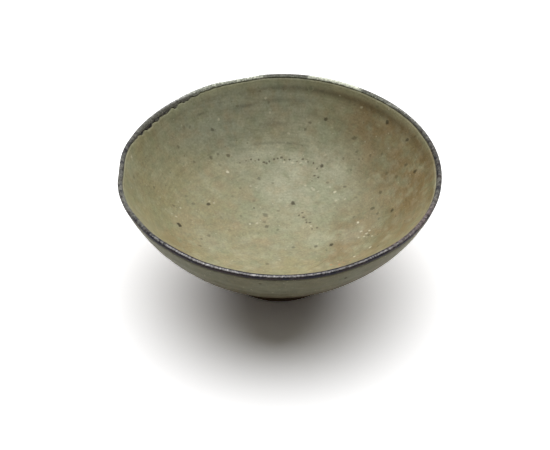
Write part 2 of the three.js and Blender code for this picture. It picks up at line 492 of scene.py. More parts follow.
glazeCoat = {
    "columns": 360,
    "insideRows": (20, 190),
    "outsideRows": (20, 150),
    "edge": 0.5 * mm,          # how soon the glaze's edges reach full thickness
    "roll": 0.06 * mm,         # extra thickness of the roll of glaze under the edging
    "rollWidth": 1.0 * mm,
    # the paler glaze under the edging, lit up further by a painted highlight where its roll catches the
    # light: the millimetres over which it fades by half, and its strength
    "stripWidth": [
        (0, 2.2), (30, 2.4), (60, 2.6), (90, 2.6), (120, 2.6), (150, 1.6), (170, 4), (190, 3.4), (215, 1.2),
        (260, 0.4), (330, 0.4), (348, 1.4),
    ],
    "stripStrength": [
        (0, 0.25), (12, 0.25), (28, 0.5), (50, 0.6), (75, 0.3), (98, 0.45), (110, 1), (122, 0.6),
        (150, 0.25), (165, 0.2), (195, 0.15), (215, 0.1), (330, 0.1), (350, 0.35),
    ],
    # a darker line below that, from the right round to the back
    "shadeMiddle": 4.3 * mm,
    "shadeWidth": 2.2 * mm,
    "shadeRound": [(-10, 0), (5, 0.3), (25, 0.65), (42, 1), (62, 1), (74, 0.5), (90, 0)],
    # darker rings along the finger ridges, from glaze pooled in them and painted shadow of the ridges:
    # millimetres under the lip, width, middle and reach in degrees, strength
    "rings": [(5.8, 1.2, 82, 24, 0.9), (11.4, 1.0, 86, 16, 0.6), (12.7, 0.7, 105, 6, 1.0),
              (17.0, 1.0, 72, 14, 0.3), (22.6, 1.0, 91, 11, 0.6), (31.7, 0.6, 88, 20, 0.8),
              (27.0, 1.2, 118, 20, 0.3), (10.9, 0.6, 125, 3, 1.0), (6.5, 1.2, 138, 5, 0.5)],
    "ringWander": 0.4 * mm,
    "footWander": 0.7 * mm,    # unevenness of the glaze line above the foot
}


def makeGlazes():
    g = glazeCoat
    offsets = (section["layerClearance"], section["layerClearance"] + section["glaze"])

    def innerRelief(run, angle):
        below = (run - innerSkirtEdge(angle) - g["rollWidth"]) / g["rollWidth"]
        return innerMarks(run, angle) + g["roll"] * np.exp(-below ** 2)

    # paler glaze along the edging, with a painted highlight on the roll of glaze there
    def paleRimStripAndHighlight(run, angle):
        width = 2 * mm * roundTheRim(angle, g["stripWidth"]) * (1 + 0.2 * ringWaves(angle, 22, (11, 17, 29)))
        near = np.clip(1 - (run - innerSkirtEdge(angle)) / width, 0, 1)
        return smooth(near) * roundTheRim(angle, g["stripStrength"])

    def rimShade(run, angle):
        away = (run - innerSkirtEdge(angle) - g["shadeMiddle"]) / g["shadeWidth"]
        return np.exp(-away ** 2) * roundTheRim(angle, g["shadeRound"])

    # darker rings: glaze pooled in the troughs of the finger ridges, with painted shadow of the ridges
    def ring(run, angle):
        broken = 0.7 + 0.3 * ringWaves(angle, 24, (19, 31, 47))
        total = 0 * run
        for depth, width, middle, reach, strength in g["rings"]:
            middleRun = clay["lipTop"] + depth * mm - g["ringWander"] * ringWaves(angle, 25, (4, 9))
            across = (run - middleRun) / (width * mm)
            total = total + strength * np.exp(-across ** 2) * angleMask(angle, middle, reach)
        return np.clip(total * broken, 0, 1)

    angle = fullTurn(g["columns"])
    topLine = innerSkirtEdge(angle) + glazeTopInside - skirtInside
    inside = coatShell("innerGlazeSkin", g["columns"], g["insideRows"], topLine, floorMiddle, offsets,
                       innerRelief, g["edge"], {"paleRimStripAndHighlight": paleRimStripAndHighlight, "rimShade": rimShade, "ring": ring})
    footLine = glazeFoot + g["footWander"] * ringWaves(angle, 21, (1, 2, 3, 5, 8))
    outside = coatShell("outerGlazeSkin", g["columns"], g["outsideRows"], footLine, glazeTopOutside, offsets,
                        outerMarks, g["edge"])
    return inside, outside


lacquerBed = {"columns": 720, "rows": (10, 24), "squeeze": 0.1 * mm, "wander": 0.06 * mm, "edge": 0.1 * mm}


def makeLacquer():
    # the lacquer shows as a hair line under both skirts
    b = lacquerBed
    start = section["layerClearance"]
    angle = fullTurn(b["columns"])
    wander = b["wander"] * ringWaves(angle, 41, (6, 14, 31))
    return coatShell("rimLacquerSkin", b["columns"], b["rows"], skirtOutside - b["squeeze"] + wander,
                     innerSkirtEdge(angle) + b["squeeze"], (start, start + section["lacquer"]),
                     lambda run, around: 0.0, b["edge"])


foot = {
    "columns": 288,
    "wall": 5.5 * mm,
    "flare": 0.9 * mm,
    "insideFlare": 0.5 * mm,
    "roundedEdge": 0.6 * mm,
    "turning": 0.07 * mm,      # depth of the trimming lines
    "turningSpacing": 0.4 * mm,
    "unevenness": 0.12 * mm,
    "cornerPoints": 7,
    "wallPoints": 34,
    "spiral": 0.22 * mm,       # depth of the spiral cut in the recess
    "spiralSpacing": 3.4 * mm,
    "bareCuts": 0.08 * mm,     # depth of the trimming lines on the bare wall above the foot
    "bareCutSpacing": 0.55 * mm,
    "underRows": 90,
    "bareRows": 50,
    "coveredRows": (40, 20, 60),   # under the outer glaze, the edging and the inner glaze
}


def makeFoot():
    f = foot
    outside = footTopRadius - f["flare"]
    inside = outside - f["wall"]
    edge = f["roundedEdge"]
    bend = np.linspace(0, math.pi / 2, f["cornerPoints"])
    climb = np.linspace(0.08, 1, f["wallPoints"])
    outline = [(inside + edge - edge * math.sin(b), edge - edge * math.cos(b)) for b in bend[::-1]]
    outline += [(outside - edge + edge * math.sin(b), edge - edge * math.cos(b)) for b in bend]
    outline += [(outside + f["flare"] * c, footHeight * c) for c in climb]
    outline += [(inside - f["insideFlare"] * c, footHeight * c) for c in climb[::-1]]
    outline = np.array(outline)
    angle = fullTurn(f["columns"])[None, :]
    r = np.repeat(outline[:, :1], f["columns"], 1)
    z = np.repeat(outline[:, 1:], f["columns"], 1)
    outward = np.where(r > (inside + outside) / 2, 1.0, -1.0)
    free = np.clip(z / (2 * mm), 0, 1) * np.clip((footHeight - z) / (1 * mm), 0, 1)
    lines = 0.5 + 0.5 * np.sin(z / f["turningSpacing"] + angle + 2 * waves(z / (3 * mm), 51, 3, 1.0))
    uneven = 0.5 + 0.5 * ringWaves(angle, 52, (1, 2, 3, 7))
    r = r - outward * free * (f["turning"] * lines + f["unevenness"] * uneven)
    return turnedMesh("footRingSkin", np.stack(handMade(r, z, np.zeros_like(r), angle), -1))


def makeClay():
    # only the band above the foot and the recess under the floor show
    f = foot
    angle = fullTurn(f["columns"])[None, :]
    underR = np.linspace(0, footTopRadius + section["footShelf"], f["underRows"])[1:-1, None] + 0 * angle
    inRecess = np.clip((footTopRadius - f["flare"] - f["wall"] - underR) / (1.5 * mm), 0, 1)
    groove = 0.5 + 0.5 * np.cos(underR / f["spiralSpacing"] * 2 * math.pi + angle)
    underZ = footHeight + inRecess * f["spiral"] * groove
    outer, lip, inner = f["coveredRows"]
    run = np.concatenate([np.linspace(0, glazeFoot + 3 * mm, f["bareRows"]),
                          np.linspace(glazeFoot + 4 * mm, skirtOutside, outer),
                          np.linspace(skirtOutside + 0.1 * mm, skirtInside, lip),
                          np.linspace(skirtInside + 1 * mm, floorMiddle, inner)[:-1]])[:, None] + 0 * angle
    r, z = onClay(run, 0 * run)
    bare = np.clip((glazeFoot - 0.5 * mm - run) / (1 * mm), 0, 1) * np.clip(run / (0.6 * mm), 0, 1)
    cuts = np.sin(run / f["bareCutSpacing"] + angle + ringWaves(angle, 61, (1, 2, 4)))
    r = r - bare * f["bareCuts"] * (0.5 + 0.5 * cuts)
    under = np.stack(handMade(underR, underZ, 0 * underR, angle), -1)
    wall = np.stack(handMade(r, z, run, angle), -1)
    return turnedMesh("clayBodySkin", np.concatenate([under, wall]), (0, 0, footHeight + f["spiral"]),
                      (hand["wellShift"], 0, float(clay["points"][-1, 1])))


innerGlaze, outerGlaze = makeGlazes()
rimBand = makeEdging()
rimLacquer = makeLacquer()
footRing = makeFoot()
clayBody = makeClay()
print("turned pieces made")


# Iron spots, pinholes and specks: thin patches that lie on the glaze and carry a mask for its material.
# Each is placed by the point of the picture where it shows.

ironSpots = [
    # picture x, y, width in millimetres, strength from 0 to 1
    (178.5, 223.9, 1.5, 0.9), (179.8, 225.6, 1.7, 0.95), (208.4, 204.1, 1.6, 0.85),
    (228.2, 155.5, 1.5, 0.6), (265.4, 215, 2.2, 0.45), (264.6, 222, 1.4, 0.4), (266.8, 226.5, 1.6, 0.5),
    (278.6, 210.8, 1.2, 0.35), (293, 203.2, 1.9, 0.8), (277.6, 229.8, 1.2, 0.35), (315.9, 246.4, 1.5, 0.6),
    (331.3, 244.8, 1.7, 0.85), (293.4, 247.3, 1.4, 0.45), (267.1, 264, 1.3, 0.45), (209, 235.5, 1.6, 0.35),
    (199.9, 245.7, 1.2, 0.4), (173.7, 205.6, 1.3, 0.45), (186, 196, 1.2, 0.3), (154, 187.4, 1.2, 0.35),
    (372.5, 208.4, 1.7, 0.55), (377.5, 213.4, 1.3, 0.45), (392.1, 210.3, 1.7, 0.75), (356, 197.4, 1.2, 0.3),
    (344.8, 186.8, 1.3, 0.45), (380.5, 192.2, 1.5, 0.45), (386.9, 173.2, 1.5, 0.35),
    (396.5, 176.7, 1.5, 0.35), (343.5, 158.4, 1.2, 0.4), (370.2, 155.4, 1.3, 0.35),
    (321.9, 165.8, 1.6, 0.75), (258.9, 178.6, 1.4, 0.4), (272.8, 183, 1.2, 0.3), (211, 157.6, 1.4, 0.45),
    (218, 154, 1.2, 0.4), (178.2, 146.7, 1.3, 0.35), (194.2, 161.8, 1.2, 0.35), (212.5, 129.7, 1.5, 0.55),
    (325.9, 119.1, 1.6, 0.75), (387.3, 122.1, 1.8, 0.8), (407.3, 139.7, 1.6, 0.7), (406, 164.8, 1.5, 0.5),
    (415, 171.4, 1.7, 0.75), (354.4, 138.1, 1.8, 0.45), (305.3, 129.3, 1.2, 0.45),
    (229.7, 230.5, 1.5, 0.25), (378, 246, 1.2, 0.45), (260.3, 283.8, 1.2, 0.6), (345.7, 278, 1.3, 0.7),
    (237.5, 106, 1.3, 0.4), (310, 122.5, 1.3, 0.4), (254, 201, 1.3, 0.25), (327.5, 182.5, 1.2, 0.35),
    (306, 220, 1.2, 0.35), (232, 196, 1.1, 0.25), (241, 216, 1.1, 0.25), (221, 217, 1.1, 0.25),
    (351, 170, 1.1, 0.3), (193.5, 203.8, 1.3, 0.35), (240.6, 187.9, 1.2, 0.3), (219.9, 164.8, 1.2, 0.3),
    (268.6, 102, 1.2, 0.35), (259.9, 91, 1.2, 0.35), (310.6, 88.3, 2, 0.3), (357.1, 151.5, 1.2, 0.3),
    (381.9, 153.9, 1.2, 0.3), (359, 159, 1.1, 0.3), (377.3, 107, 1.3, 0.4), (415, 136.4, 1.1, 0.4),
    (190.9, 220, 1.2, 0.25), (201.3, 238.8, 1.1, 0.4), (368.8, 235, 1.1, 0.45), (395.6, 216.3, 1.2, 0.35),
    (378.8, 218.5, 1.1, 0.35), (353.8, 216.9, 1.1, 0.3), (183.6, 127, 1.4, 0.25), (190, 127, 1.1, 0.25),
    (133.8, 176.9, 1.4, 0.3),
]
pits = [
    # picture x, y, width: pinholes, most of them on the ring where another bowl stood in the kiln
    (251, 159.5, 0.8), (255, 161, 0.6), (258.6, 159.8, 0.9), (264, 162.4, 1.1), (266.5, 163.4, 1),
    (269.3, 161.5, 0.9), (274, 159.4, 1), (277.6, 158.6, 0.8), (281.4, 157.6, 1.1), (284.6, 160, 0.6),
    (289.5, 159.6, 0.8), (297, 161.4, 0.6), (302.8, 159.2, 1), (308, 162, 0.6), (313.4, 163.2, 0.9),
    (317, 168.6, 0.8), (314.4, 175.8, 0.9), (318.2, 177.4, 0.9), (312, 181, 0.6), (302.4, 212.8, 0.9),
    (299, 215.4, 0.9), (303.6, 217.4, 1.1), (306.6, 222.4, 0.9), (309.8, 222.6, 1), (317, 227.8, 0.9),
    (312, 229, 0.8), (254, 208, 0.8), (246, 161, 0.6), (240, 163, 0.6),
]
paleSpecks = [
    (227.6, 171.9, 1.3, 0.95), (358, 222.5, 1.1, 0.8), (334.8, 192, 1.2, 0.8), (131.5, 156.8, 1.1, 0.6),
    (361.6, 107.4, 1, 0.4), (370.2, 247.3, 1.1, 0.7), (354.4, 256.5, 1.1, 0.6), (361, 231.5, 1.1, 0.6),
    (366.5, 233.5, 1.1, 0.6), (369.5, 230.5, 1, 0.6), (257, 223.2, 1, 0.5), (284, 162.2, 1, 0.6),
    (292.4, 162.8, 1.1, 0.6), (300.6, 163, 1, 0.5), (305.8, 161.4, 0.9, 0.5), (325.4, 155, 1, 0.4),
    (330, 187, 1.1, 0.4), (305.4, 185.6, 1, 0.4), (311, 226, 1, 0.5), (364, 236.5, 1, 0.5),
    (372, 236, 0.9, 0.5), (358.5, 237.5, 0.9, 0.45), (312, 188, 0.9, 0.4), (318, 191.5, 0.9, 0.4),
    (180.5, 208, 0.9, 0.45), (176, 216.5, 0.9, 0.45), (214, 203, 0.9, 0.4), (345, 199, 0.9, 0.4),
    (265.5, 98, 1.1, 0.55), (269.9, 112.6, 1, 0.45), (218.6, 119.5, 1.1, 0.5), (288.7, 133.4, 1.1, 0.45),
    (389, 108.8, 1.3, 0.6), (250, 224, 1, 0.45), (209.4, 201.3, 0.9, 0.35), (250.5, 186, 0.9, 0.4),
    (256.5, 187.5, 0.9, 0.4), (313.5, 189.5, 1.3, 0.4), (336, 200.5, 1.2, 0.4),
]
rustSpecks = [
    (331, 264.8, 1, 0.8), (339.4, 264.6, 1, 0.8), (350.6, 261, 0.8, 0.5), (344, 262.6, 0.7, 0.5),
]
hairline = {
    "route": [(311, 268), (316, 266.6), (321.5, 263.4), (327, 259)],
    "width": 0.28 * mm,
    "strength": 0.45,
    "steps": 40,
}
patch = {
    "rings": 6,
    "corners": 16,
    "lift": 0.012 * mm,     # of the patch's edge over the glaze
    "crown": 0.03 * mm,     # of an iron spot's middle
    "flatCrown": 0.4,       # share of that on the other marks
    "spread": 1.45,         # the patch's width, as a share of the mark's, so that the mark fades out in it
    "evenMiddle": 1.35,     # above 1, the mark's middle has one strength
    "stretch": (0.85, 1.2),
    "bumps": 4,
    "bumpSize": 0.12,
    "pitStrength": 0.8,
    "seed": 71,
    # spots on the sides that the picture doesn't show, with the ranges of their angle, height as a share
    # of the bowl's, width and strength
    "hiddenSpots": 54,
    "hiddenAngle": (-25, 205),
    "hiddenHeight": (0.3, 0.92),
    "hiddenWidth": (0.8 * mm, 1.7 * mm),
    "hiddenStrength": (0.3, 0.9),
}
markNames = ("iron", "pit", "pale", "rust")


def surfaceTree(pieces):
    places, faces = [], []
    for piece in pieces:
        first = len(places)
        places.extend(v.co.copy() for v in piece.data.vertices)
        faces.extend([first + i for i in p.vertices] for p in piece.data.polygons)
    return BVHTree.FromPolygons(places, faces)


def laidDown(tree, point, normal, lift):
    # a point moved along a normal onto the glaze, and lifted by a hair
    hit, hitNormal, _, _ = tree.ray_cast(point + normal * mm, -normal, 3 * mm)
    if hit is None:
        return point + normal * lift
    return hit + hitNormal * lift


def addToStore(store, place, kind, mask):
    store["places"].append(place)
    for name in markNames:
        store[name].append(mask if name == kind else 0.0)


def addPatch(tree, middle, normal, width, strength, kind, random, store):
    # a disc laid down on the glaze, thickest in the middle, whose mask fades out at its edge
    side = normal.orthogonal().normalized()
    other = normal.cross(side)
    stretch = random.uniform(*patch["stretch"])
    spin = random.uniform(0, math.pi)
    bumps = [random.uniform(-patch["bumpSize"], patch["bumpSize"]) for _ in range(patch["bumps"])]
    crown = patch["crown"] * (1.0 if kind == "iron" else patch["flatCrown"])
    first = len(store["places"])
    for ring in range(patch["rings"] + 1):
        share = ring / patch["rings"]
        rise = patch["lift"] + crown * (1 - share ** 2)
        mask = strength * min(1, patch["evenMiddle"] * (1 - share ** 2))
        for corner in range(1 if ring == 0 else patch["corners"]):
            angle = corner / patch["corners"] * 2 * math.pi
            wobble = 1 + sum(bump * math.sin((number + 2) * angle + number)
                             for number, bump in enumerate(bumps))
            reach = width / 2 * patch["spread"] * share * wobble
            a, b = reach * math.cos(angle) * stretch, reach * math.sin(angle) / stretch
            offset = (side * (a * math.cos(spin) - b * math.sin(spin))
                      + other * (a * math.sin(spin) + b * math.cos(spin)))
            addToStore(store, laidDown(tree, middle + offset, normal, rise), kind, mask)
    for corner in range(patch["corners"]):
        after = (corner + 1) % patch["corners"]
        store["faces"].append((first, first + 1 + corner, first + 1 + after))
        for ring in range(1, patch["rings"]):
            inner = first + 1 + (ring - 1) * patch["corners"]
            outer = inner + patch["corners"]
            store["faces"].append((inner + corner, outer + corner, outer + after, inner + after))


def addHairline(tree, store):
    # a hair crack in the glaze, as a narrow strip laid along its route
    h = hairline
    spots = []
    for share in np.linspace(0, len(h["route"]) - 1, h["steps"]):
        before = min(int(share), len(h["route"]) - 2)
        (x0, y0), (x1, y1) = h["route"][before], h["route"][before + 1]
        part = share - before
        hit, normal, _, _ = tree.ray_cast(*sightLine(x0 + (x1 - x0) * part, y0 + (y1 - y0) * part))
        spots.append((hit, normal))
    first = len(store["places"])
    for number, (hit, normal) in enumerate(spots):
        ahead = spots[min(number + 1, len(spots) - 1)][0] - spots[max(number - 1, 0)][0]
        across = ahead.cross(normal).normalized()
        mask = h["strength"] * math.sin(math.pi * (number + 0.5) / len(spots)) ** 0.5
        for place, share in ((-1, 0.0), (0, 1.0), (1, 0.0)):
            spot = laidDown(tree, hit + across * place * h["width"], normal, patch["lift"])
            addToStore(store, spot, "iron", mask * share)
    for number in range(len(spots) - 1):
        here = first + 3 * number
        store["faces"].append((here, here + 1, here + 4, here + 3))
        store["faces"].append((here + 1, here + 2, here + 5, here + 4))


def hiddenStart(random):
    # a place outside the outer wall on a random side, at a random height
    angle = math.radians(random.uniform(*patch["hiddenAngle"]))
    share = random.uniform(*patch["hiddenHeight"])
    radius = rimRadius * 1.2
    return Vector((radius * math.cos(angle), radius * math.sin(angle), bowlHeight * share))


def makePatches():
    random = np.random.default_rng(patch["seed"])
    tree = surfaceTree([innerGlaze, outerGlaze])
    stores = {side: {"places": [], "faces": [], **{name: [] for name in markNames}}
              for side in ("inside", "outside")}
    darkPits = [(*pit, patch["pitStrength"]) for pit in pits]
    for kind, spots in zip(markNames, (ironSpots, darkPits, paleSpecks, rustSpecks)):
        for x, y, width, strength in spots:
            middle, normal, _, _ = tree.ray_cast(*sightLine(x, y))
            outward = middle.x * normal.x + middle.y * normal.y > 0 and normal.z < 0.3
            store = stores["outside" if outward else "inside"]
            addPatch(tree, middle, normal, width * mm, strength, kind, random, store)
    for _ in range(patch["hiddenSpots"]):
        start = hiddenStart(random)
        middle, normal, _, _ = tree.ray_cast(start, Vector((-start.x, -start.y, 0)).normalized())
        if middle is not None:
            width = random.uniform(*patch["hiddenWidth"])
            strength = random.uniform(*patch["hiddenStrength"])
            addPatch(tree, middle, normal, width, strength, "iron", random, stores["outside"])
    addHairline(tree, stores["inside"])
    made = []
    for side, store in stores.items():
        mesh = bpy.data.meshes.new(side + "GlazeSpots")
        mesh.from_pydata(store["places"], [], store["faces"])
        addMarks(mesh, {name: store[name] for name in markNames})
        mesh.polygons.foreach_set("use_smooth", [True] * len(mesh.polygons))
        mesh.update()
        made.append(linkedObject(side + "GlazeSpots", mesh))
    return made


insideSpots, outsideSpots = makePatches()
print("spots laid on the glaze")


# Shader trees

class ShaderTree:
    # a node tree, with a short call for each step that the materials repeat

    def __init__(self, tree):
        self.tree = tree
        self.position = None

    def feed(self, socket, value):
        # another node's output is linked, and anything else is a fixed value
        if isinstance(value, bpy.types.NodeSocket):
            self.tree.links.new(value, socket)
        elif socket.type == "RGBA":
            socket.default_value = (*value, 1)
        else:
            socket.default_value = value

    def node(self, kind, inputs=None, **settings):
        made = self.tree.nodes.new(kind)
        for name, value in settings.items():
            setattr(made, name, value)
        for name, value in (inputs or {}).items():
            self.feed(made.inputs[name], value)
        return made

    def math(self, kind, a, b):
        return self.node("ShaderNodeMath", {0: a, 1: b}, operation=kind).outputs[0]

    def times(self, a, b):
        return self.math("MULTIPLY", a, b)

    def swing(self, noise, size):
        # a noise moved to lie on both sides of nought
        return self.times(self.math("SUBTRACT", noise, 0.5), size)

    def remap(self, value, low, high, toLow=0.0, toHigh=1.0, kind="SMOOTHSTEP"):
        inputs = {"Value": value, "From Min": low, "From Max": high, "To Min": toLow, "To Max": toHigh}
        return self.node("ShaderNodeMapRange", inputs, interpolation_type=kind).outputs["Result"]

    def between(self, low, high, noise):
        # a value that follows a noise, which stays between about 0.3 and 0.7
        return self.remap(noise, 0.3, 0.7, low, high, "LINEAR")

    def blend(self, factor, a, b, kind="MIX"):
        inputs = {"Factor": factor, 6: a, 7: b}
        return self.node("ShaderNodeMix", inputs, data_type="RGBA", blend_type=kind).outputs[2]

    def tint(self, colour, mask, strength, tone):
        return self.blend(self.times(mask, strength), colour, tone)

    def scaled(self, colour, factor):
        # a colour made lighter or darker
        grey = self.node("ShaderNodeCombineColor", {0: factor, 1: factor, 2: factor}).outputs[0]
        return self.blend(1.0, colour, grey, "MULTIPLY")

    def uneven(self, colour, noise, swing):
        return self.scaled(colour, self.between(1 - swing, 1 + swing, noise))

    def effect(self, name, output, **values):
        # one output of a shared effect, with its own values
        inputs = {"position": self.position, **values}
        return self.node("ShaderNodeGroup", inputs, node_tree=effects[name]).outputs[output]

    def clouds(self, **values):
        return self.effect("clouds", "mask", **values)

    def noise(self, **values):
        return self.effect("clouds", "raw", **values)

    def specks(self, **values):
        return self.effect("specks", "mask", **values)

    def region(self, **values):
        return self.effect("region", "mask", **values)

    def mark(self, name):
        # a value that the mesh carries at its points
        return self.node("ShaderNodeAttribute", attribute_name=name).outputs["Fac"]

    def finish(self, colour, roughness, height, look, metallic=0.0):
        inputs = {"Height": height, "Strength": 1.0, "Distance": look["relief"] * mm}
        bump = self.node("ShaderNodeBump", inputs).outputs[0]
        inputs = {"Base Color": colour, "Roughness": roughness, "Normal": bump, "Metallic": metallic}
        shader = self.node("ShaderNodeBsdfPrincipled", {**inputs, **look["shader"]})
        self.node("ShaderNodeOutputMaterial", {"Surface": shader.outputs[0]})


def emptyTree(owner):
    # of a material or a world
    owner.use_nodes = True
    owner.node_tree.nodes.clear()
    return ShaderTree(owner.node_tree)


def startMaterial(name):
    material = bpy.data.materials.new(name)
    s = emptyTree(material)
    here = s.node("ShaderNodeTexCoord").outputs["Object"]
    s.position = s.node("ShaderNodeVectorMath", {0: here, 3: 1 / mm}, operation="SCALE").outputs[0]
    return material, s


def startGroup(name, outputs, inputs):
    # a triple among the inputs makes a vector, and a number makes a value
    group = bpy.data.node_groups.new(name, "ShaderNodeTree")
    for label, value in {"position": (0, 0, 0), **inputs}.items():
        kind = "NodeSocketVector" if isinstance(value, tuple) else "NodeSocketFloat"
        group.interface.new_socket(label, in_out="INPUT", socket_type=kind).default_value = value
    for label in outputs:
        group.interface.new_socket(label, in_out="OUTPUT", socket_type="NodeSocketFloat")
    given = group.nodes.new("NodeGroupInput").outputs
    return ShaderTree(group), given, group.nodes.new("NodeGroupOutput").inputs


# Effects that several materials share. Positions and sizes are in millimetres.

def makeCloudEffect():
    # soft patches of one tone in another
    s, given, result = startGroup("clouds", ("mask", "raw"), {
        "shift": (0, 0, 0), "size": 20.0, "spread": 0.12, "balance": 0.5, "detail": 4.0})
    moved = s.node("ShaderNodeVectorMath", {0: given["position"], 1: given["shift"]}).outputs[0]
    scale = s.math("DIVIDE", 1.0, given["size"])
    inputs = {"Vector": moved, "Scale": scale, "Detail": given["detail"], "Roughness": 0.55}
    noise = s.node("ShaderNodeTexNoise", inputs).outputs["Fac"]
    low = s.math("SUBTRACT", given["balance"], given["spread"])
    high = s.math("ADD", given["balance"], given["spread"])
    s.feed(result["mask"], s.remap(noise, low, high))
    s.feed(result["raw"], noise)
    return s.tree


def makeSpeckEffect():
    # scattered round specks of uneven size
    s, given, result = startGroup("specks", ("mask",), {
        "shift": (0, 0, 0), "spacing": 3.0, "size": 0.2, "share": 0.4})
    moved = s.node("ShaderNodeVectorMath", {0: given["position"], 1: given["shift"]}).outputs[0]
    scale = s.math("DIVIDE", 1.0, given["spacing"])
    cells = s.node("ShaderNodeTexVoronoi", {"Vector": moved, "Scale": scale}, feature="F1").outputs
    picks = s.node("ShaderNodeSeparateColor", {"Color": cells["Color"]}).outputs
    radius = s.math("DIVIDE", given["size"], given["spacing"])
    radius = s.times(radius, s.remap(picks["Red"], 0.0, 1.0, 0.4, 1.6, "LINEAR"))
    inside = s.remap(s.math("DIVIDE", cells["Distance"], radius), 1.0, 0.45)
    chosen = s.math("LESS_THAN", picks["Green"], given["share"])
    s.feed(result["mask"], s.times(inside, chosen))
    return s.tree


def makeTurningEffect():
    # streaks that run round the axis, as a wheel leaves them
    s, given, result = startGroup("turning", ("streaks",), {"width": 1.2, "length": 0.7})
    parts = s.node("ShaderNodeSeparateXYZ", {0: given["position"]}).outputs
    flat = s.node("ShaderNodeCombineXYZ", {0: parts[0], 1: parts[1]}).outputs[0]
    radius = s.node("ShaderNodeVectorMath", {0: flat}, operation="LENGTH").outputs["Value"]
    unit = s.node("ShaderNodeVectorMath", {0: flat}, operation="NORMALIZE").outputs[0]
    unitParts = s.node("ShaderNodeSeparateXYZ", {0: unit}).outputs
    along = s.math("ADD", radius, s.times(parts[2], 0.8))   # so that a steep wall has streaks too
    stretched = s.node("ShaderNodeCombineXYZ", {
        0: s.math("DIVIDE", along, given["width"]),
        1: s.times(unitParts[0], given["length"]),
        2: s.times(unitParts[1], given["length"])}).outputs[0]
    noise = s.node("ShaderNodeTexNoise", {"Vector": stretched, "Scale": 1.0, "Detail": 3.0})
    s.feed(result["streaks"], noise.outputs["Fac"])
    return s.tree


def makeRegionEffect():
    # a soft round region about a point, with a wandering edge
    s, given, result = startGroup("region", ("mask",), {
        "centre": (0, 0, 0), "radius": 20.0, "softness": 8.0, "wander": 6.0})
    distance = s.node("ShaderNodeVectorMath", {0: given["position"], 1: given["centre"]},
                      operation="DISTANCE").outputs["Value"]
    noise = s.node("ShaderNodeTexNoise", {"Vector": given["position"], "Scale": 0.09, "Detail": 5.0})
    wander = s.swing(noise.outputs["Fac"], s.times(given["wander"], 4.0))
    inner = s.math("SUBTRACT", given["radius"], given["softness"])
    outer = s.math("ADD", given["radius"], given["softness"])
    s.feed(result["mask"], s.remap(s.math("ADD", distance, wander), outer, inner))
    return s.tree


effects = {"clouds": makeCloudEffect(), "specks": makeSpeckEffect(), "turning": makeTurningEffect(),
           "region": makeRegionEffect()}


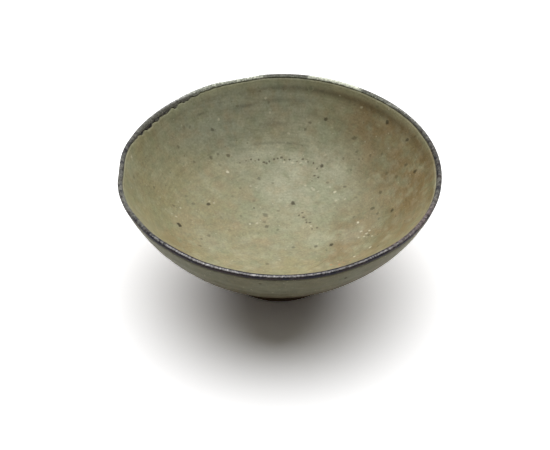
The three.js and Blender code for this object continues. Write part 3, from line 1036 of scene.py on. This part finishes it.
glaze = {
    "tones": {
        "mist": (0.338, 0.326, 0.200),
        "straw": (0.318, 0.286, 0.148),
        "sand": (0.395, 0.362, 0.205),
        "haze": (0.525, 0.520, 0.365),
        "sage": (0.380, 0.392, 0.280),
        "pool": (0.456, 0.454, 0.310),
        "tan": (0.292, 0.254, 0.142),
        "brown": (0.276, 0.210, 0.105),
        "umber": (0.226, 0.160, 0.062),
        "blush": (0.390, 0.306, 0.176),
        "moss": (0.272, 0.294, 0.172),
        "iron": (0.034, 0.026, 0.006),
        "pale": (0.760, 0.720, 0.520),
        "pit": (0.110, 0.095, 0.055),
        "rust": (0.500, 0.230, 0.100),
        # the strip's tone is paler glaze with a painted highlight on top
        "strip": (0.560, 0.560, 0.360),
        "shade": (0.130, 0.095, 0.040),
    },
    "regions": [
        # tone, strength, centre, radius and softness of its edge
        ("sage", 0.9, (-12, 58, 44), 30, 12),
        ("straw", 0.9, (-44, 6, 29), 24, 10),
        ("blush", 0.5, (-40, -3, 27), 7, 4),
        ("sage", 0.5, (-30, -10, 24), 7, 4),
        ("pool", 1.0, (10, 34, 25), 23, 10),
        ("pool", 0.8, (-10, 43, 28), 9, 6),
        ("pool", 0.5, (4, 12, 20), 17, 9),
        ("tan", 0.9, (46, -4, 31), 19, 9),
        ("brown", 0.7, (50, -20, 36), 14, 8),
        ("tan", 0.9, (32, -24, 25), 14, 7),
        ("brown", 0.5, (24, -32, 26), 7, 4),
        ("straw", 0.8, (-44, -24, 30), 14, 8),
        ("tan", 0.7, (32, -1, 23), 6, 3),
        ("brown", 0.95, (51, 40, 44), 24, 14),
        ("brown", 0.95, (62, 8, 44), 18, 12),
        ("umber", 0.95, (69, 20, 51), 17, 12),
        ("umber", 0.90, (67, -4, 50), 15, 11),
        ("umber", 0.5, (50, 44, 51), 12, 9),
        ("umber", 0.5, (52, -8, 34), 9, 7),
        ("umber", 0.4, (33, -12, 24), 13, 9),
        ("umber", 0.3, (21, -24, 23), 7, 6),
        ("straw", 0.7, (0, -46, 36), 24, 10),
        ("straw", 0.6, (-36, 6, 24), 12, 7),
        ("tan", 0.5, (34, -8, 24), 10, 6),
        ("brown", 0.55, (30, -11, 23), 10, 6),
        ("brown", 0.5, (56, 8, 40), 11, 6),
        ("umber", 0.35, (56, 15, 41), 12, 8),
        ("umber", 0.4, (58, 3, 40), 10, 6),
        ("umber", 0.3, (40, -22, 33), 14, 8),
        ("umber", 0.3, (56, -2, 40), 11, 7),
        ("umber", 0.2, (33, 41, 34), 9, 6),
        ("umber", 0.12, (-20, -22, 24), 22, 10),
        ("umber", 0.22, (33, 6, 23), 8, 6),
        ("umber", 0.22, (47, 33, 39), 12, 8),
        ("umber", 0.3, (50, -41, 47), 24, 9),
        ("umber", 0.45, (44, 50, 52), 8, 5),
        ("moss", 0.45, (-11, 18, 21), 6, 4),
        ("moss", 0.35, (22, 23, 22), 8, 5),
        ("moss", 0.6, (22, 50, 36), 8, 5),
        ("moss", 0.35, (33, 41, 34), 6, 4),
        ("brown", 0.6, (-44, -20, 31), 10, 6),
        ("sage", 0.7, (-36, 42, 44), 17, 9),
        ("sage", 0.6, (-30, 32, 27), 12, 7),
        ("pool", 0.6, (31, 36, 28), 9, 6),
        ("pool", 0.4, (-54, 20, 39), 9, 6),
        ("sage", 0.5, (-44, 51, 52), 7, 5),
        ("sage", 0.7, (-22, 54, 41), 12, 6),
        ("haze", 0.55, (8, 41, 27), 19, 8),
        ("haze", 0.3, (-20, 40, 28), 8, 6),
        ("sand", 0.75, (-34, 26, 27), 15, 9),
        ("tan", 0.35, (-33, 1, 23), 11, 7),
        ("sage", 0.4, (32, -9, 23), 5, 3),
        ("pool", 0.6, (18, -8, 21), 6, 3),
        ("blush", 0.3, (0, 54, 36), 8, 4),
    ],
    "tinges": [
        # tone, strength, size, shift
        ("blush", 0.40, 6.0, (40, 7, 3)),
        ("moss", 0.46, 6.0, (4, 17, 60)),
        ("pool", 0.32, 6.0, (14, 57, 6)),
        ("moss", 0.30, 14.0, (33, 2, 21)),
        ("blush", 0.25, 11.0, (6, 81, 12)),
    ],
    "tingeBalance": 0.58,  # above the middle of the noise, so less than half is tinged
    "regionWander": 1.6,
    "broad": {"size": 26.0, "spread": 0.2},   # the slow change from mist to straw
    "shadeStrength": 0.75,
    # the finger rings darken the tone with pooled glaze and painted shadow of the ridges
    "rings": 0.46,         # how much darker the glaze is in the finger rings
    "mottles": [
        # size, detail, and how far the tone swings, as a share
        (7.0, 2.0, 0.06),
        (2.6, 3.0, 0.08),
        (1.0, 2.0, 0.12),
    ],
    "mottleShift": (5, 50, 9),
    "streaks": {"width": 1.0, "length": 11.0},
    "streakSwing": 0.07,
    "specks": [
        # tone, strength, spacing, size, share of the places that have one, shift
        ("iron", 0.40, 3.6, 0.36, 0.40, (0, 0, 0)),
        ("iron", 0.26, 1.5, 0.26, 0.40, (31, 13, 17)),
        ("pale", 0.34, 2.8, 0.34, 0.45, (11, 3, 29)),
        ("pale", 0.20, 1.3, 0.26, 0.35, (23, 41, 5)),
        ("moss", 0.50, 4.4, 0.70, 0.35, (3, 19, 47)),
    ],
    "rough": (0.42, 0.58),
    "relief": 0.05,        # depth of the bumps, in millimetres
    "streakRelief": 0.4,   # the streaks' and pits' share in them
    "pitDepth": 1.5,
    "shader": {"Specular IOR Level": 0.22},
}


def mottled(s, colour, shift):
    # uneven tone at three scales, and faint streaks from the wheel
    for size, detail, swing in glaze["mottles"]:
        noise = s.noise(size=size, detail=detail, shift=shift)
        colour = s.uneven(colour, noise, swing)
    streaks = s.effect("turning", "streaks", **glaze["streaks"])
    return s.uneven(colour, streaks, glaze["streakSwing"]), noise, streaks


def speckled(s, colour):
    # fine specks all over, with more of them than the patches hold
    for tone, strength, spacing, size, share, shift in glaze["specks"]:
        mask = s.specks(spacing=spacing, size=size, share=share, shift=shift)
        colour = s.tint(colour, mask, strength, glaze["tones"][tone])
    return colour


def makeInsideGlaze():
    g = glaze
    tones = g["tones"]
    material, s = startMaterial("insideGlaze")
    colour = s.blend(s.clouds(**g["broad"]), tones["mist"], tones["straw"])
    for tone, strength, centre, radius, softness in g["regions"]:
        mask = s.region(centre=centre, radius=radius, softness=softness, wander=g["regionWander"])
        colour = s.tint(colour, mask, strength, tones[tone])
    for tone, strength, size, shift in g["tinges"]:
        mask = s.clouds(size=size, balance=g["tingeBalance"], shift=shift)
        colour = s.tint(colour, mask, strength, tones[tone])
    colour = s.tint(colour, s.mark("rimShade"), g["shadeStrength"], tones["shade"])
    # painted shadow of the finger ridges, together with the glaze pooled in them
    colour = s.scaled(colour, s.math("SUBTRACT", 1.0, s.times(s.mark("ring"), g["rings"])))
    # paler glaze under the edging, lit up further by a painted highlight
    colour = s.blend(s.mark("paleRimStripAndHighlight"), colour, tones["strip"])
    colour, fine, streaks = mottled(s, colour, g["mottleShift"])
    colour = speckled(s, colour)
    for name in ("pale", "rust", "pit", "iron"):
        colour = s.blend(s.mark(name), colour, tones[name])
    height = s.math("ADD", s.times(streaks, g["streakRelief"]), fine)
    height = s.math("SUBTRACT", height, s.times(s.mark("pit"), g["pitDepth"]))
    s.finish(colour, s.between(*g["rough"], fine), height, g)
    return material


outside = {
    "grey": (0.196, 0.191, 0.127),
    "olive": (0.182, 0.168, 0.104),
    # darker and browner towards the bottom: the glaze runs thin there, and the lower wall carries painted
    # shade where it turns under
    "thin": (0.060, 0.041, 0.016),
    "broad": {"size": 24.0, "shift": (3, 70, 5)},
    "thinFrom": 46.0,      # height below which the glaze starts to run thin and brown
    "thinTo": 26.0,
    "thinStrength": 0.9,
    "drips": {"size": 8.0, "detail": 5.0},
    "dripHeight": 18.0,
    "mottleShift": (5, 20, 9),
    "rough": (0.40, 0.56),
    "relief": 0.07,
    "streakRelief": 0.6,
    "shader": {"Specular IOR Level": 0.08},
}


def makeOutsideGlaze():
    o = outside
    material, s = startMaterial("outsideGlaze")
    colour = s.blend(s.clouds(**o["broad"]), o["grey"], o["olive"])
    height = s.node("ShaderNodeSeparateXYZ", {0: s.position}).outputs[2]
    ragged = s.math("ADD", height, s.swing(s.noise(**o["drips"]), o["dripHeight"]))
    # painted shade on the lower wall, together with the glaze running thin
    colour = s.tint(colour, s.remap(ragged, o["thinFrom"], o["thinTo"]), o["thinStrength"], o["thin"])
    colour, fine, streaks = mottled(s, colour, o["mottleShift"])
    colour = speckled(s, colour)
    for name in ("pale", "pit", "iron"):
        colour = s.blend(s.mark(name), colour, glaze["tones"][name])
    relief = s.math("ADD", s.times(streaks, o["streakRelief"]), fine)
    s.finish(colour, s.between(*o["rough"], fine), relief, o)
    return material


stoneware = {
    # dark clay tones, which also stand in as painted shade for the foot lying in its contact shadow
    "buffInShade": (0.072, 0.044, 0.020),
    "dark": (0.034, 0.020, 0.009),
    "grog": (0.160, 0.110, 0.065),
    "iron": (0.025, 0.018, 0.012),
    "broad": {"size": 14.0, "spread": 0.14},
    "grit": {"spacing": 1.1, "size": 0.22, "share": 0.5},
    "gritStrength": 0.6,
    "darkGrit": {"spacing": 1.9, "size": 0.22, "share": 0.4, "shift": (9, 4, 2)},
    "darkStrength": 0.8,
    "fine": {"size": 0.7, "detail": 6.0},
    "streaks": {"width": 0.6, "length": 1.0},
    "rough": (0.75, 0.95),
    "relief": 0.12,
    "shader": {"Specular IOR Level": 0.3},
}


def makeBareClay():
    c = stoneware
    material, s = startMaterial("bareClay")
    colour = s.blend(s.clouds(**c["broad"]), c["buffInShade"], c["dark"])
    grit = s.specks(**c["grit"])
    colour = s.tint(colour, grit, c["gritStrength"], c["grog"])
    colour = s.tint(colour, s.specks(**c["darkGrit"]), c["darkStrength"], c["iron"])
    fine = s.noise(**c["fine"])
    streaks = s.effect("turning", "streaks", **c["streaks"])
    height = s.math("ADD", s.math("ADD", fine, streaks), grit)
    s.finish(colour, s.between(*c["rough"], fine), height, c)
    return material


edgingMetal = {
    "patina": (0.016, 0.015, 0.024),
    "rust": (0.034, 0.024, 0.022),
    "tint": {"size": 5.0},
    "greyed": (0.200, 0.198, 0.170),
    # tones of the rubbed metal along the crest, lit up as a painted highlight
    "rubbedHighlight": (0.262, 0.254, 0.250),
    "gleamHighlight": (0.640, 0.622, 0.600),
    # a plum tarnish at the right front, and a greener one at the back
    "plum": (0.200, 0.160, 0.152),
    "plumSide": {"centre": (50, -46, 54), "radius": 26, "softness": 8.0, "wander": 3.0},
    "mossRubbedHighlight": (0.250, 0.264, 0.212),
    "mossGleamHighlight": (0.600, 0.622, 0.510),
    "mossSide": {"centre": (6, 62, 54), "radius": 50, "softness": 16.0, "wander": 3.0},
    "grain": {"size": 0.9, "detail": 3.0, "shift": (2, 8, 4)},
    "blotches": {"size": 2.0, "detail": 4.0, "shift": (7, 1, 9)},
    "greyedAt": (0.15, 0.75),      # the wear where the grey starts and where it is full
    "rubbedHighlightAt": (0.25, 0.6),       # and the same for the crest
    "gleamHighlightAt": (0.6, 0.95),
    "raggedWear": 1.4,             # how far the blotches and the grain move those edges
    "raggedCrest": 0.8,
    "mottle": 0.45,                # how far the tone swings, as a share
    "flecks": {"spacing": 1.5, "size": 0.32, "share": 0.4},
    "fleckStrength": 0.5,
    "metallic": 0.4,
    "rough": (0.36, 0.56),
    "relief": 0.06,
    "shader": {"Specular IOR Level": 0.10},
}


def makeEdgingMetal():
    m = edgingMetal
    material, s = startMaterial("edgingMetal")
    grain = s.noise(**m["grain"])
    blotches = s.noise(**m["blotches"])
    plumSide = s.region(**m["plumSide"])
    mossSide = s.region(**m["mossSide"])
    wear = s.mark("wear")
    colour = s.blend(s.clouds(**m["tint"]), m["patina"], m["rust"])
    greyed = s.remap(s.math("ADD", wear, s.swing(blotches, m["raggedWear"])), *m["greyedAt"])
    colour = s.blend(greyed, colour, s.blend(plumSide, m["greyed"], m["plum"]))
    # the crest: rubbed metal with a painted highlight along it
    crest = s.math("ADD", s.mark("crest"), s.swing(grain, m["raggedCrest"]))
    rubbedHighlight = s.remap(crest, *m["rubbedHighlightAt"])
    colour = s.blend(rubbedHighlight, colour, s.blend(mossSide, m["rubbedHighlight"], m["mossRubbedHighlight"]))
    gleamHighlight = s.blend(mossSide, m["gleamHighlight"], m["mossGleamHighlight"])
    colour = s.blend(s.remap(crest, *m["gleamHighlightAt"]), colour, gleamHighlight)
    colour = s.uneven(colour, grain, m["mottle"])
    # bright flecks on the worn metal, in the painted highlight's tone
    flecks = s.specks(**m["flecks"])
    colour = s.tint(colour, flecks, s.times(wear, m["fleckStrength"]), gleamHighlight)
    s.finish(colour, s.between(*m["rough"], grain), grain, m, s.times(rubbedHighlight, m["metallic"]))
    return material


lacquerFinish = {
    "black": (0.014, 0.011, 0.010),
    "brown": (0.050, 0.032, 0.024),
    "tone": {"size": 4.0},
    "rough": (0.25, 0.45),
    "relief": 0.02,
    "shader": {"Coat Weight": 0.4},
}


def makeLacquerFinish():
    b = lacquerFinish
    material, s = startMaterial("blackLacquer")
    tone = s.noise(**b["tone"])
    s.finish(s.blend(tone, b["black"], b["brown"]), s.between(*b["rough"], tone), tone, b)
    return material


def dress(piece, material, node):
    piece.data.materials.append(material)
    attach(piece, "root")
    if node:
        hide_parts(node)


insideGlazeFinish = makeInsideGlaze()
outsideGlazeFinish = makeOutsideGlaze()
bareClayFinish = makeBareClay()
dress(innerGlaze, insideGlazeFinish, "inner_glaze")
dress(outerGlaze, outsideGlazeFinish, "outer_glaze")
dress(insideSpots, insideGlazeFinish, None)
dress(outsideSpots, outsideGlazeFinish, None)
dress(clayBody, bareClayFinish, "clay_body")
dress(footRing, bareClayFinish, "foot_ring")
dress(rimLacquer, makeLacquerFinish(), "rim_lacquer")
dress(rimBand, makeEdgingMetal(), "rim_band")
print("pieces dressed")


# Floor, lamp and background

stage = {
    "floorWidth": 6.0,
    "floorColour": (0.90, 0.90, 0.895),
    "pictureFloor": (1.66, 1.66, 1.65),   # the floor as the camera sees it, so that it shows white
    "worldBehind": 0.52,   # light from all round, which fades from behind the bowl to the front
    "worldInFront": 0.02,
    "worldLow": 0.25,      # share of it that is left near the horizon
    "worldFullAt": 0.7,    # sine of the angle above level where all of it is there
    "worldColour": (1.0, 0.965, 0.91),
    "keyStrength": 2.70,
    "keyColour": (0.995, 1.0, 1.03),
    "keyHeight": 60,      # degrees above level, from behind the bowl
    "keyTurn": 2,         # degrees round from straight behind, to the right
    "keySoftness": 100,   # degrees across
}


def seenDirectly(s):
    # 1 for what the camera sees, also in a reflection or through glass
    rays = s.node("ShaderNodeLightPath").outputs
    seen = s.math("MAXIMUM", rays["Is Camera Ray"], rays["Is Glossy Ray"])
    return s.math("MAXIMUM", seen, rays["Is Transmission Ray"])


def makeFloor():
    half = stage["floorWidth"] / 2
    mesh = bpy.data.meshes.new("floor")
    corners = [(-half, -half, 0), (half, -half, 0), (half, half, 0), (-half, half, 0)]
    mesh.from_pydata(corners, [], [(0, 1, 2, 3)])
    floor = linkedObject("floor", mesh)
    material = bpy.data.materials.new("floorPaper")
    s = emptyTree(material)
    colour = s.blend(seenDirectly(s), stage["floorColour"], stage["pictureFloor"])
    shader = s.node("ShaderNodeBsdfDiffuse", {"Color": colour})
    s.node("ShaderNodeOutputMaterial", {"Surface": shader.outputs[0]})
    mesh.materials.append(material)


def makeKeyLamp():
    lamp = bpy.data.lights.new("key", "SUN")
    lamp.energy = stage["keyStrength"]
    lamp.color = stage["keyColour"]
    lamp.angle = math.radians(stage["keySoftness"])
    key = linkedObject("key", lamp)
    height, turn = math.radians(stage["keyHeight"]), math.radians(stage["keyTurn"])
    toLamp = Vector((math.sin(turn) * math.cos(height), math.cos(turn) * math.cos(height), math.sin(height)))
    key.rotation_euler = toLamp.to_track_quat("Z", "Y").to_euler()


def makeWorld():
    world = bpy.data.worlds.new("room")
    s = emptyTree(world)
    direction = s.node("ShaderNodeTexCoord").outputs["Generated"]
    parts = s.node("ShaderNodeSeparateXYZ", {0: direction}).outputs
    light = s.remap(parts[1], -1.0, 1.0, stage["worldInFront"], stage["worldBehind"])
    light = s.times(light, s.remap(parts[2], 0.0, stage["worldFullAt"], stage["worldLow"], 1.0))
    seen = seenDirectly(s)
    strength = s.remap(seen, 0.0, 1.0, light, 1.0, "LINEAR")
    colour = s.blend(seen, stage["worldColour"], (1, 1, 1))
    background = s.node("ShaderNodeBackground", {"Color": colour, "Strength": strength}).outputs[0]
    s.node("ShaderNodeOutputWorld", {"Surface": background})
    bpy.context.scene.world = world


makeFloor()
makeKeyLamp()
makeWorld()
bpy.context.scene.view_settings.view_transform = "Standard"
print("stage set")
